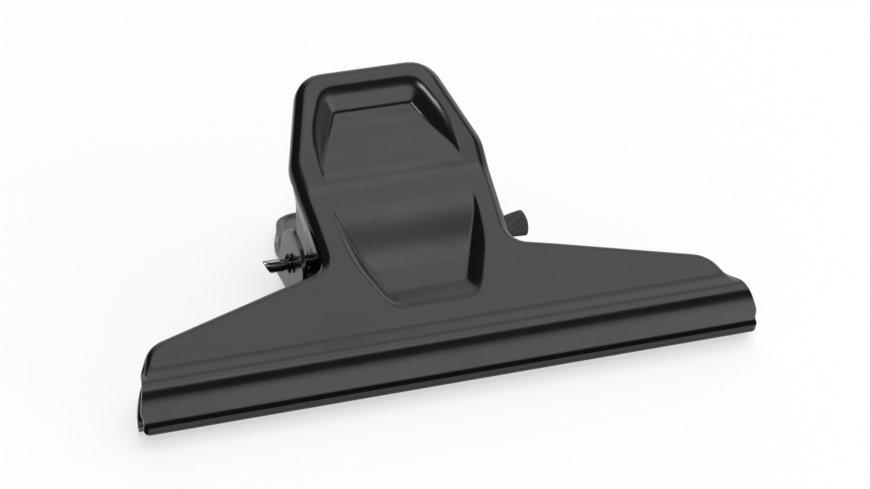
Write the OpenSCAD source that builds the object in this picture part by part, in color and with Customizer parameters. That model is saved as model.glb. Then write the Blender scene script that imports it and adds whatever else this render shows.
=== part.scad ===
// Bulldog clip: two pressed steel jaws with handles, hinged on a staked wire pin and closed by a double
// torsion spring. The clip lies on its rear jaw, as it does on a desk.

/* [Jaws] */
// Width of the jaws
jaw_w = 125; // [90:1:180]
// Thickness of the steel sheet
sheet_t = 0.8; // [0.6:0.05:1]
// Length of the flat lips that grip the paper
lip_l = 1.5; // [1:0.1:4]
// Gap between the closed lips
lip_gap = 0.1; // [0.06:0.01:0.3]
// Slope of the bead's flank
flank_a = 49; // [35:1:60]
// Length of the bead's straight flank
flank_l = 4; // [3:0.1:6]
// Outer radius of the bead's crown
crown_r = 3.2; // [2:0.1:5]
// Slope of the bead's back, where it falls to the plate
back_a = 15.6; // [5:0.2:20]
// Length of the bead's straight back
back_l = 1; // [0.5:0.1:2]
// Outer radius of the valley behind the bead
valley_r = 5.7; // [3:0.1:10]

/* [Plates] */
// Slope of the lower plate away from the clip's middle plane
plate_a = 10.9; // [9:0.1:13]
// Slope of the handle
handle_a = 21.8; // [19:0.1:25]
// Outer radius of the bend between plate and handle
bend_r = 15; // [10:0.5:25]
// Height of that bend above the jaw line
bend_y = 41.6; // [38:0.2:46]
// Height of the corner at the end of the jaw
end_y = 7.8; // [6:0.1:10]
// How far that corner lies inside the jaw's end
end_inset = 2; // [0.5:0.1:4]
// Height of the shoulder's outer end
shoulder_y = 14.6; // [12:0.1:17]
// How far the shoulder's outer end lies inside the jaw's end
shoulder_inset = 5.9; // [4:0.1:9]
// Height of the waist
waist_y = 24.9; // [22:0.1:27]
// Width of the waist
waist_w = 37.6; // [34:0.2:44]
// Height of the handle's widest place
knee_y = 47.4; // [46:0.2:54]
// Width of the handle there
knee_w = 39.4; // [38:0.2:46]
// Height of the handle's tip
tip_y = 64.6; // [62:0.2:76]
// Width of the handle's tip
tip_w = 27; // [22:0.5:34]

/* [Corners and rims] */
// Radius of the corner at the end of the jaw
end_r = 9; // [4:0.5:10]
// Radius of the shoulder's outer end
shoulder_r = 6.4; // [3:0.2:9]
// Radius of the waist's fillet
waist_r = 4; // [2:0.2:6]
// Radius of the handle's knee
knee_r = 7.6; // [3:0.2:12]
// Radius of the handle's tip corners
tip_r = 6.2; // [3:0.2:8]
// Radius of the lip's corners
lip_r = 1; // [0.5:0.1:2]
// Depth of the rim turned down along the shoulders
shoulder_rim = 2.2; // [1.5:0.1:3]
// Depth of the rim turned down round the handle
handle_rim = 3.2; // [2:0.1:4]

/* [Recess] */
// Depth of the pressed recess at its lower end
recess_low_d = 2.4; // [1.2:0.1:2.6]
// Depth of the pressed recess at its upper end
recess_high_d = 1.4; // [0.8:0.1:2]
// Height of the recess floor's lower end
recess_low_y = 19.2; // [17:0.1:22]
// Height of the recess floor's upper end
recess_high_y = 57.4; // [52:0.2:58]
// Width of the recess floor at both ends
recess_end_w = 16.2; // [12:0.2:18]
// Width of the recess floor at the bend
recess_mid_w = 27.6; // [22:0.2:28]
// Slope of the recess walls, away from upright
recess_wall_a = 48; // [30:1:55]

/* [Hinge] */
// Height of the pin above the jaw line
pin_y = 34.3; // [33:0.1:37]
// Diameter of the pin
pin_d = 2.2; // [1.8:0.1:2.6]
// Radial clearance of the pin in the front jaw's ears
pin_clear = 0.05; // [0.02:0.01:0.09]
// Radius of the ears round the pin
ear_r = 6; // [4.5:0.1:6.4]
// Reach of the ear's root towards the jaw
ear_low = 8; // [6.5:0.1:8.5]
// Reach of the ear's root towards the handle
ear_high = 9.5; // [7:0.1:10]
// Free gap between the ears on the left
gap_left = 2.4; // [0.6:0.1:2.6]
// Free gap between the ears on the right
gap_right = 0.3; // [0.2:0.05:1]
// How far the pin stands out of the left ear
pin_out = 5.3; // [3:0.1:7]
// Slope of the pin's cut end
pin_cut_a = 36; // [10:1:45]

/* [Pin ends] */
// Width of the staked wings that hold the pin on the left
stake_w = 3.9; // [3:0.1:5]
// Thickness of the staked wings
stake_t = 0.7; // [0.4:0.1:1.2]
// Length of the squashed end on the right
tail_l = 7.3; // [5:0.1:9]
// Reach of the squashed end above the pin's axis
tail_up = 3.4; // [2:0.1:4]
// Reach of the squashed end below the pin's axis
tail_down = 1.8; // [1.2:0.1:3]
// Thickness of the squashed end
tail_t = 0.9; // [0.6:0.1:1.4]

/* [Spring] */
// Diameter of the spring wire
wire_d = 1.5; // [1:0.1:1.6]
// Inner diameter of the coils
coil_inner_d = 3.6; // [3.4:0.1:4]
// Turns in each of the two coils
coil_turns = 6; // [3:1:6]
// Free gap between neighbouring turns
turn_gap = 0.46; // [0.44:0.01:0.6]
// Free gap between the coils and the ears beside them
coil_side_gap = 0.4; // [0.2:0.05:0.6]
// Length of the loop, from the pin to its bight
loop_l = 15; // [13:0.5:18]
// Length of the outer legs, from the pin to their ends
leg_l = 17; // [13:0.5:20]

/* [Hidden] */
round_fn = 48;
arc_step = 7;
lacquer_color = "#2b2b2d";
pin_color = "#3a3937";
wire_color = "#8c8e90";

// Radius of the crease between lip and bead, measured on the outer face
crease_r = 0.6;
// Reach of cuts past what they cut
overrun = 1;
// Free play between the pin and the rear jaw's ears, which it is staked in
stake_clear = 0.01;
// Free play at the flat shoulders of the pin and between wire and sheet
seat_clear = 0.05;
// Free gap between the spring's legs and the handle's rim
rim_clear = 0.5;

// A leg of a bent strip is [length, 0] or [radius, turn]. A state is [along, out, heading].
function leg_end(s, leg) =
    leg[1] == 0
    ? [s[0] + leg[0] * cos(s[2]), s[1] + leg[0] * sin(s[2]), s[2]]
    : let (r = leg[0] * sign(leg[1]))
      let (a = s[2] + leg[1])
      [s[0] - r * sin(s[2]) + r * sin(a), s[1] + r * cos(s[2]) - r * cos(a), a];

function leg_part(leg, share) = leg[1] == 0 ? [leg[0] * share, 0] : [leg[0], leg[1] * share];

function leg_steps(leg) = leg[1] == 0 ? 1 : ceil(abs(leg[1]) / arc_step);

function states(start, legs) =
    [for (i = 0, s = start; i <= len(legs); s = i < len(legs) ? leg_end(s, legs[i]) : s, i = i + 1) s];

function beside(s, d) = [s[0] - d * sin(s[2]), s[1] + d * cos(s[2])];

// The line that runs d beside the strip's outer face
function strip_line(start, legs, d) =
    let (all = states(start, legs))
    concat(
        [beside(start, d)],
        [for (i = [0:len(legs) - 1])
            let (n = leg_steps(legs[i]))
            for (j = [1:n]) beside(leg_end(all[i], leg_part(legs[i], j / n)), d)]
    );

function reversed(list) = [for (i = [len(list) - 1:-1:0]) list[i]];

// The section of a bent strip of sheet
function strip_section(start, legs, t) =
    concat(strip_line(start, legs, 0), reversed(strip_line(start, legs, -t)));

// The jaw's section, on its outer face: lip, crease, flank, crown, back, valley, plate, bend and handle
lip_out = lip_gap / 2 + sheet_t;
jaw_start = [-lip_l, lip_out, 0];
bead_legs = [
    [lip_l, 0],
    [crease_r, flank_a],
    [flank_l, 0],
    [crown_r, -flank_a - back_a],
    [back_l, 0],
    [valley_r, back_a + plate_a]
];
bead_end = states(jaw_start, bead_legs)[len(bead_legs)];
bend_tangent = bend_r * tan((handle_a - plate_a) / 2);
plate_l = (bend_y - bead_end[0]) / cos(plate_a) - bend_tangent;
handle_l = (tip_y - bend_y) / cos(handle_a);
jaw_legs = concat(bead_legs, [[plate_l, 0], [bend_r, handle_a - plate_a], [handle_l, 0]]);
face_line = strip_line(jaw_start, jaw_legs, 0);
function face_out(y) = lookup(y, face_line);

// The blank is cut and its rims are drawn along one press direction, square to the mean slope
press_a = (plate_a + handle_a) / 2;
function pressed(x, y) = [x, y * cos(press_a) + face_out(y) * sin(press_a)];

// Corners are [[x, y], radius], run from the lip up the right side
half_w = jaw_w / 2;
lip_edge = pressed(0, -lip_l)[1] - sheet_t * sin(press_a);
side_corners = [
    [[half_w, lip_edge], lip_r],
    [pressed(half_w, 0), 0],
    [pressed(half_w - end_inset, end_y), end_r],
    [pressed(half_w - shoulder_inset, shoulder_y), shoulder_r],
    [pressed(waist_w / 2, waist_y), waist_r],
    [pressed(knee_w / 2, knee_y), knee_r],
    [pressed(tip_w / 2, tip_y), tip_r]
];
outline_corners = concat(
    side_corners,
    [for (c = reversed(side_corners)) [[-c[0][0], c[0][1]], c[1]]]
);

function unit(v) = v / norm(v);
function turn_of(a, p, b) = sign((p - a)[0] * (b - p)[1] - (p - a)[1] * (b - p)[0]);

// The corners of the outline that runs d inside these
function inset_corners(corners, d) =
    let (n = len(corners))
    [for (i = [0:n - 1])
        let (p = corners[i][0])
        let (a = corners[(i + n - 1) % n][0])
        let (b = corners[(i + 1) % n][0])
        let (ua = unit(a - p))
        let (ub = unit(b - p))
        let (half = acos(ua * ub) / 2)
        let (side = turn_of(a, p, b))
        [p + unit(ua + ub) * side * d / sin(half), corners[i][1] - side * d]];

function corner_arc(a, p, b, r) =
    let (ua = unit(a - p))
    let (ub = unit(b - p))
    let (half = acos(ua * ub) / 2)
    let (cut = min(r / tan(half), norm(a - p) * fillet_share, norm(b - p) * fillet_share))
    let (real_r = cut * tan(half))
    let (centre = p + unit(ua + ub) * real_r / sin(half))
    let (from = p + ua * cut - centre)
    let (sweep = turn_of(a, p, b) * (two_right - 2 * half))
    let (n = ceil(abs(sweep) / arc_step))
    let (a0 = atan2(from[1], from[0]))
    [for (i = [0:n]) centre + real_r * [cos(a0 + sweep * i / n), sin(a0 + sweep * i / n)]];

// A fillet takes at most this share of the shorter side beside it
fillet_share = 0.48;
two_right = 180;

function rounded(corners) =
    let (n = len(corners))
    [for (i = [0:n - 1])
        each corners[i][1] > 0
            ? corner_arc(corners[(i + n - 1) % n][0], corners[i][0], corners[(i + 1) % n][0], corners[i][1])
            : [corners[i][0]]];

// Draws a figure given along and out of the clip's plane as a bar across its width
module across(w) {
    rotate([90, 0, 90])
        linear_extrude(height = w, center = true)
            children();
}

// Draws an outline through the whole thickness of the clip, along the press direction
module through() {
    rotate([press_a, 0, 0])
        linear_extrude(height = tip_y, center = true)
            children();
}

ear_low_y = pin_y - ear_low;
ear_high_y = pin_y + ear_high;
rim_steps = 12;

// The heights from a to b, at even steps
function heights(a, b) = [for (i = [0:rim_steps]) a + (b - a) * i / rim_steps];

// The zone under the outer face that a rim fills from height a to b, with its depth at both ends
module rim_zone(a, b, depth_a, depth_b) {
    ys = heights(a, b);
    across(jaw_w + overrun)
        polygon(concat(
            [for (y = ys) [y, face_out(y) - sheet_t / 2]],
            [for (y = reversed(ys)) [y, face_out(y) - depth_a - (depth_b - depth_a) * (y - a) / (b - a)]]
        ));
}

module rims() {
    intersection() {
        through()
            difference() {
                polygon(rounded(outline_corners));
                polygon(rounded(inset_corners(outline_corners, sheet_t)));
            }
        union() {
            rim_zone(end_y, shoulder_y, sheet_t, shoulder_rim);
            rim_zone(shoulder_y, ear_low_y, shoulder_rim, shoulder_rim);
            rim_zone(ear_high_y, tip_y + overrun, handle_rim, handle_rim);
        }
    }
}

// The recess is a flat floor with six sloped walls, which fade out where the plate's bend meets the floor
recess_low = [recess_low_y, face_out(recess_low_y) - recess_low_d];
recess_high = [recess_high_y, face_out(recess_high_y) - recess_high_d];
recess_l = norm(recess_high - recess_low);
recess_a = atan2(recess_high[1] - recess_low[1], recess_high[0] - recess_low[0]);
recess_mid = (bend_y - recess_low_y) / cos(recess_a);
recess_corners = [
    [[recess_end_w / 2, 0], 0],
    [[recess_mid_w / 2, recess_mid], 0],
    [[recess_end_w / 2, recess_l], 0],
    [[-recess_end_w / 2, recess_l], 0],
    [[-recess_mid_w / 2, recess_mid], 0],
    [[-recess_end_w / 2, 0], 0]
];

// A six-sided tray between two heights over the recess floor, each side grown by its own amount
module tray(low, low_grow, high, high_grow) {
    bottom = [for (c = inset_corners(recess_corners, -low_grow)) [c[0][0], c[0][1], low]];
    top = [for (c = inset_corners(recess_corners, -high_grow)) [c[0][0], c[0][1], high]];
    n = len(bottom);
    translate([0, recess_low[0], recess_low[1]])
        rotate([recess_a, 0, 0])
            polyhedron(
                points = concat(bottom, top),
                faces = concat(
                    [[for (i = [0:n - 1]) i]],
                    [[for (i = [n - 1:-1:0]) n + i]],
                    [for (i = [0:n - 1]) [i, n + i, n + (i + 1) % n, (i + 1) % n]]
                )
            );
}

tray_top = recess_low_d + recess_high_d;
wall_run = tan(recess_wall_a);
wall_grow = sheet_t / cos(recess_wall_a);

module recess_cut() {
    tray(0, 0, tray_top, tray_top * wall_run);
}

// The recess shows inside as a boss, one sheet thickness under the floor and the walls
module recess_boss() {
    boss_ys = heights(bead_end[0], tip_y - handle_rim);
    intersection() {
        tray(-sheet_t, wall_grow - sheet_t * wall_run, tray_top, tray_top * wall_run + wall_grow);
        across(recess_mid_w * 2)
            polygon(concat(
                [for (y = boss_ys) [y, face_out(y) - sheet_t / 2]],
                [for (y = reversed(boss_ys)) [y, face_out(y) - tray_top - sheet_t]]
            ));
    }
}

module pressed_plate() {
    difference() {
        union() {
            intersection() {
                across(jaw_w + overrun)
                    polygon(strip_section(jaw_start, concat(jaw_legs, [[overrun, 0]]), sheet_t));
                through()
                    polygon(rounded(outline_corners));
            }
            rims();
            recess_boss();
        }
        recess_cut();
    }
}

// The ears stand in planes square to the pin. Those of the front jaw run straight down from the waist,
// and those of the rear jaw first flare out past them
ear_x = waist_w / 2;
ear_root_r = 1;
ear_flare_a = 50;

// The place on a circle round the pin where a line from the point p touches it
function touch(p, side) =
    let (v = [p[0] - pin_y, p[1]])
    let (a = atan2(v[1], v[0]) + side * acos(ear_r / norm(v)))
    [pin_y + ear_r * cos(a), ear_r * sin(a)];

module ear_shape() {
    low = [ear_low_y, face_out(ear_low_y) - sheet_t / 2];
    high = [ear_high_y, face_out(ear_high_y) - sheet_t / 2];
    polygon([low, touch(low, 1), touch(high, -1), high]);
    translate([pin_y, 0])
        circle(r = ear_r, $fn = round_fn);
}

// An ear on the right side whose outer face ends the given step outside the waist. A strip's section
// runs down from the face, flares out by the step and runs down again, all along the ear's root.
module ear(step) {
    drop = face_out(ear_high_y) + 2 * ear_r;
    root_a = atan2(face_out(ear_high_y) - face_out(ear_low_y), ear_high_y - ear_low_y);
    turn_run = 2 * ear_root_r * sin(ear_flare_a / 2) * sin(ear_flare_a / 2);
    slant = max((step - 2 * turn_run) / sin(ear_flare_a), 0);
    flare = step > 0
        ? [[ear_root_r, ear_flare_a], [slant, 0], [ear_root_r, -ear_flare_a], [drop, 0]]
        : [[drop, 0]];
    intersection() {
        across(2 * (ear_x + step + overrun))
            ear_shape();
        translate([0, pin_y, face_out(ear_low_y) + ear_low * tan(root_a)])
            rotate([root_a - 90, 0, 0])
                linear_extrude(height = 2 * (ear_low + ear_high + ear_r), center = true)
                    polygon([for (p = strip_section([0, ear_x, 0], flare, sheet_t)) [p[1], p[0]]]);
    }
}

module bore(d) {
    translate([0, pin_y, 0])
        rotate([0, 90, 0])
            cylinder(d = d, h = jaw_w, center = true, $fn = round_fn);
}

// A jaw drawn as the upper one, with the step of its right and its left ear
module jaw(step_right, step_left, bore_d) {
    difference() {
        union() {
            pressed_plate();
            ear(step_right);
            mirror([1, 0, 0])
                ear(step_left);
        }
        bore(bore_d);
    }
}

step_left = sheet_t + gap_left;
step_right = sheet_t + gap_right;

// The clip rests on the crown of the rear bead and on the tip of the rear handle
crown_start = states(jaw_start, bead_legs)[3];
crown_centre = beside(crown_start, -crown_r);
tip_point = [tip_y, face_out(tip_y)];
rest_span = tip_point - crown_centre;
rest_a = atan2(rest_span[1], rest_span[0]) - asin(crown_r / norm(rest_span));
rest_lift = tip_point[1] * cos(rest_a) - tip_point[0] * sin(rest_a);

// It reaches from the front lip's edge back to the edge of the rear handle's rim
rim_run = handle_rim * tan(press_a) / (1 + tan(handle_a) * tan(press_a));
rim_end = tip_point + [rim_run, rim_run * tan(handle_a) - handle_rim];
rest_front = -lip_l * cos(rest_a) - lip_out * sin(rest_a);
rest_back = rim_end[0] * cos(rest_a) + rim_end[1] * sin(rest_a);

module lying() {
    translate([0, -(rest_front + rest_back) / 2, rest_lift])
        rotate([rest_a, 0, 0])
            children();
}

module front_jaw() {
    color(lacquer_color)
        lying()
            jaw(0, 0, pin_d + 2 * pin_clear);
}

module rear_jaw() {
    color(lacquer_color)
        lying()
            rotate([0, 180, 0])
                jaw(step_left, step_right, pin_d + 2 * stake_clear);
}

// The pin is a wire, cut slantwise and staked on the left and squashed to a fishtail on the right
pin_left = -ear_x - step_left;
pin_right = ear_x + step_right;
stake_turn = 50;
tail_turn = 35;
// Outline of the squashed end, as shares of its length and of its reach on either side
tail_up_shares = [[0.2, 0.6], [0.34, 0.8], [0.92, 1], [1, 0.5]];
tail_down_shares = [[1, 0.2], [0.92, 1], [0.6, 0.92], [0.2, 0.7]];
// Where the flat of the squashed end begins, as a share of its length
tail_flat_share = 0.45;

module squashed_end() {
    translate([pin_right + seat_clear, 0, 0])
        rotate([tail_turn, 0, 0])
            intersection() {
                translate([0, 0, -pin_d])
                    linear_extrude(height = 2 * pin_d)
                        polygon(concat(
                            [[0, pin_d / 2]],
                            [for (s = tail_up_shares) [s[0] * tail_l, s[1] * tail_up]],
                            [for (s = tail_down_shares) [s[0] * tail_l, -s[1] * tail_down]],
                            [[0, -pin_d / 2]]
                        ));
                rotate([90, 0, 0])
                    linear_extrude(height = 2 * (tail_up + tail_down), center = true)
                        polygon([
                            [0, pin_d / 2],
                            [tail_flat_share * tail_l, tail_t / 2],
                            [tail_l + overrun, tail_t / 2],
                            [tail_l + overrun, -tail_t / 2],
                            [tail_flat_share * tail_l, -tail_t / 2],
                            [0, -pin_d / 2]
                        ]);
            }
}

module stake() {
    translate([pin_left - seat_clear - stake_t / 2, 0, 0])
        rotate([stake_turn, 0, 0])
            rotate([0, 90, 0])
                linear_extrude(height = stake_t, center = true)
                    polygon([[0, stake_w / 2], [pin_d / 2, 0], [0, -stake_w / 2], [-pin_d / 2, 0]]);
}

module pivot_pin() {
    pin_l = pin_right - pin_left + pin_out + seat_clear;
    color(pin_color)
        lying()
            translate([0, pin_y, 0]) {
                difference() {
                    translate([pin_left - pin_out, 0, 0])
                        rotate([0, 90, 0])
                            cylinder(d = pin_d, h = pin_l, $fn = round_fn);
                    translate([pin_left - pin_out, 0, pin_d / 2])
                        rotate([0, -pin_cut_a, 0])
                            translate([-2 * pin_d, 0, -pin_d])
                                cube([4 * pin_d, 2 * pin_d, 6 * pin_d], center = true);
                }
                stake();
                squashed_end();
            }
}

// The double spring runs from the left leg through both coils and the loop between them to the right leg.
// The outer legs press on the rear jaw, and the loop presses on the front jaw.
coil_r = (coil_inner_d + wire_d) / 2;
wire_pitch = wire_d + turn_gap;
wire_sides = 6;
turn_rings = 8;
full_turn = 360;
// Radius of the loop's corners, as a share of the wire's diameter
loop_corner_share = 1.2;
loop_corner_r = loop_corner_share * wire_d;
corner_rings = 5;

// A leg touches the coil's circle and leaves it at the slope that brings it to rest at its end
function leg_slope(reach, out) =
    let (far = [sqrt(reach * reach + out * out), atan2(out, reach)])
    far[1] - asin(coil_r / far[0]);

// The loop rests under the floor of the front recess, and the legs rest on the rear plate beside its boss
floor_out = recess_low[1] + (pin_y + loop_l - recess_low[0]) * tan(recess_a);
loop_out = floor_out - (sheet_t + wire_d / 2 + seat_clear) / cos(recess_a);
leg_out = face_out(pin_y + leg_l) - (sheet_t + wire_d / 2 + seat_clear) / cos(handle_a);
loop_a = leg_slope(loop_l, loop_out);
leg_a = leg_slope(leg_l, leg_out);

// The wire's middle line on the left half, from the leg's end to the loop's corner
quarter = full_turn / 4;
sweep_start = quarter + leg_a;
sweep_all = coil_turns * full_turn + 2 * quarter - leg_a - loop_a;
coil_l = wire_pitch * sweep_all / full_turn;
sweep_rings = ceil(sweep_all / full_turn * turn_rings);

// The coils stand beside the ears, with the loop between them, and the legs end inside the handle's rim
coil_outer_x = ear_x - sheet_t - coil_side_gap - wire_d / 2;
coil_inner_x = coil_outer_x - coil_l;
leg_share = (pin_y + leg_l - knee_y) / (tip_y - knee_y);
leg_x = (knee_w + (tip_w - knee_w) * leg_share) / 2 - sheet_t - rim_clear - wire_d / 2;
leg_run = sqrt(leg_l * leg_l + leg_out * leg_out - coil_r * coil_r);
loop_run = sqrt(loop_l * loop_l + loop_out * loop_out - coil_r * coil_r);

function on_circle(x, a) = [x, coil_r * cos(a), coil_r * sin(a)];

leg_foot = on_circle(-coil_outer_x, -sweep_start);
leg_tip = leg_foot + [coil_outer_x - leg_x, leg_run * cos(-leg_a), leg_run * sin(-leg_a)];
loop_foot = on_circle(-coil_inner_x, quarter + loop_a);
loop_way = [0, cos(loop_a), sin(loop_a)];
loop_bight = loop_foot + loop_way * loop_run;

left_half = concat(
    [leg_tip, leg_tip + unit(leg_foot - leg_tip) * wire_d],
    [for (i = [0:sweep_rings])
        on_circle(-coil_outer_x + coil_l * i / sweep_rings, -sweep_start - sweep_all * i / sweep_rings)],
    [for (i = [0:corner_rings])
        let (a = quarter * i / corner_rings)
        loop_bight - loop_way * (loop_corner_r * (1 - sin(a))) + [loop_corner_r * (1 - cos(a)), 0, 0]]
);
wire_line = concat(left_half, [for (p = reversed(left_half)) [-p[0], p[1], p[2]]]);

wire_points = len(wire_line);
wire_ways = [for (i = [0:wire_points - 1])
    unit(wire_line[min(i + 1, wire_points - 1)] - wire_line[max(i - 1, 0)])];
wire_sideways = [for (i = 0, n = [1, 0, 0]; i < wire_points; i = i + 1,
    n = i < wire_points ? unit(n - wire_ways[i] * (n * wire_ways[i])) : n) n];

// The least free gap between stretches of wire that lie more than half a turn apart
near_rings = turn_rings / 2 + 1;
wire_free = min([for (i = [0:wire_points - 1])
    for (j = [i + near_rings:1:wire_points - 1])
        let (p = wire_line[i])
        let (q = wire_line[j])
        if (norm(p - q) > 0) norm(p - q)]) - wire_d;
echo(least_gap_of_spring_to_itself = wire_free);

module torsion_spring() {
    rings = [for (i = [0:wire_points - 1])
        let (u = wire_sideways[i])
        let (v = cross(wire_ways[i], u))
        for (k = [0:wire_sides - 1])
            let (a = full_turn * k / wire_sides)
            wire_line[i] + (wire_d / 2) * (u * cos(a) + v * sin(a))];
    last = (wire_points - 1) * wire_sides;
    color(wire_color)
        lying()
            translate([0, pin_y, 0])
                polyhedron(
                    points = rings,
                    faces = concat(
                        [for (k = [1:wire_sides - 2]) [0, k + 1, k]],
                        [for (k = [1:wire_sides - 2]) [last, last + k, last + k + 1]],
                        [for (i = [0:wire_points - 2])
                            for (k = [0:wire_sides - 1])
                                let (a = i * wire_sides + k)
                                let (b = i * wire_sides + (k + 1) % wire_sides)
                                each [[a, b, b + wire_sides], [a, b + wire_sides, a + wire_sides]]]
                    )
                );
}

front_jaw();
rear_jaw();
pivot_pin();
torsion_spring();
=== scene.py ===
import math
import bpy
import numpy as np
from mathutils import Matrix, Vector


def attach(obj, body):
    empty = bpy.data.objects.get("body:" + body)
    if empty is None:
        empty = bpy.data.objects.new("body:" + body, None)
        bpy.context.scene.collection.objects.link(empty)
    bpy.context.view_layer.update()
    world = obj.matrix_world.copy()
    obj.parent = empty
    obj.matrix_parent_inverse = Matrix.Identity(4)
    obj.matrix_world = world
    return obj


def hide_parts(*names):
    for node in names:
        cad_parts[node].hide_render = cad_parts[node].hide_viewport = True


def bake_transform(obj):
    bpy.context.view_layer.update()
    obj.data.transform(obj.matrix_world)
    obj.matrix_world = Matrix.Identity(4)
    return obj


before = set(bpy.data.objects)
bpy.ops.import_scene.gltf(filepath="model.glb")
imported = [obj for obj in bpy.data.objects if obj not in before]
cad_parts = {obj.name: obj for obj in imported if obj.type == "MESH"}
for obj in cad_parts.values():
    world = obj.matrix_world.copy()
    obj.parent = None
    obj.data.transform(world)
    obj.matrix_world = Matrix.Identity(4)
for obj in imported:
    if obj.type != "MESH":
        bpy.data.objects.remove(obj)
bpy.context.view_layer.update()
mm = 0.001
print("frame loaded:", sorted(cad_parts))

# Lengths below are in mm and angles in degrees. A jaw is drawn in the clip's own frame: x to the right,
# y up from the jaw line along the clip's middle plane, and out away from that plane.
resting = {"tilt": 13.9726, "middle": 32.988, "lift": 3.79124}


def layDown(x, y, out):
    # turns the clip's frame by the tilt about X, moves it onto the floor and gives metres
    tilt = math.radians(resting["tilt"])
    rowY = y * math.cos(tilt) - out * math.sin(tilt) - resting["middle"]
    rowZ = y * math.sin(tilt) + out * math.cos(tilt) + resting["lift"]
    return np.stack([x, rowY, rowZ], axis=-1).reshape(-1, 3) * mm


def gridFaces(rows, columns, closedColumns=False):
    # the four corners of every cell of a grid of points, counted row by row
    across = np.arange(columns if closedColumns else columns - 1)
    i, j = np.meshgrid(np.arange(rows - 1), across, indexing="ij")
    nextJ = (j + 1) % columns
    cells = [i * columns + j, i * columns + nextJ, (i + 1) * columns + nextJ, (i + 1) * columns + j]
    return np.stack(cells, axis=-1).reshape(-1, 4)


def makePiece(name, points, faces, material):
    # puts points and four-cornered faces into a new smooth mesh at the origin
    mesh = bpy.data.meshes.new(name)
    mesh.vertices.add(len(points))
    mesh.vertices.foreach_set("co", points.astype(np.float32).ravel())
    mesh.loops.add(faces.size)
    mesh.loops.foreach_set("vertex_index", faces.astype(np.int32).ravel())
    mesh.polygons.add(len(faces))
    mesh.polygons.foreach_set("loop_start", np.arange(0, faces.size, 4, dtype=np.int32))
    mesh.polygons.foreach_set("loop_total", np.full(len(faces), 4, dtype=np.int32))
    mesh.polygons.foreach_set("use_smooth", np.ones(len(faces), dtype=bool))
    mesh.update(calc_edges=True)
    mesh.validate()
    mesh.materials.append(material)
    piece = bpy.data.objects.new(name, mesh)
    bpy.context.scene.collection.objects.link(piece)
    return piece


def srgb(code, alpha=1.0):
    # sRGB hex to linear: the lower part is a straight line, the rest a power of 2.4
    values = np.array([int(code[i:i + 2], 16) for i in (1, 3, 5)]) / 255
    linear = np.where(values <= 0.04045, values / 12.92, ((values + 0.055) / 1.055) ** 2.4)
    return (*linear.tolist(), alpha)


def addNode(tree, kind, settings=None, links=None):
    # one node with its settings. Its links are given as {input: (node, output)}, and a plain value is set on the input
    node = tree.nodes.new(kind)
    for key, value in (settings or {}).items():
        setattr(node, key, value)
    for key, value in (links or {}).items():
        if isinstance(value, tuple) and isinstance(value[0], bpy.types.Node):
            tree.links.new(value[0].outputs[value[1]], node.inputs[key])
        else:
            node.inputs[key].default_value = value
    return node


def addRamp(tree, value, start, end, low=0.0, high=1.0):
    # low up to start, high from end, and a straight line between
    return addNode(tree, "ShaderNodeMapRange", None, {
        "Value": value, "From Min": start, "From Max": end, "To Min": low, "To Max": high})


def addProduct(tree, first, second):
    return addNode(tree, "ShaderNodeMath", {"operation": "MULTIPLY"}, {0: first, 1: second})


def startMaterial(name):
    # an empty material and its node tree
    material = bpy.data.materials.new(name)
    material.use_nodes = True
    tree = material.node_tree
    tree.nodes.clear()
    return material, tree


def finishMaterial(tree, shader):
    # gives the shader to the material's surface
    output = addNode(tree, "ShaderNodeOutputMaterial")
    tree.links.new(shader.outputs[0], output.inputs["Surface"])


lacquer = {
    "color": "#101011", "thin": "#2c2b2a", "thinFrom": 0.62, "thinTo": 0.8, "thinShare": 0.25,
    "rough": 0.2, "roughSpread": 0.05, "smudgeMm": 14.0, "smudgeFrom": 0.3, "smudgeTo": 0.7, "ior": 1.43,
    "grainMm": 0.35, "grainDepth": 0.05, "waveMm": 9.0, "waveDepth": 0.3, "bumpMm": 0.1,
    "creaseShadeLow": (-1.52, -1.4), "creaseShadeHigh": (-0.05, -0.4), "shine": 0.5,
}


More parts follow.
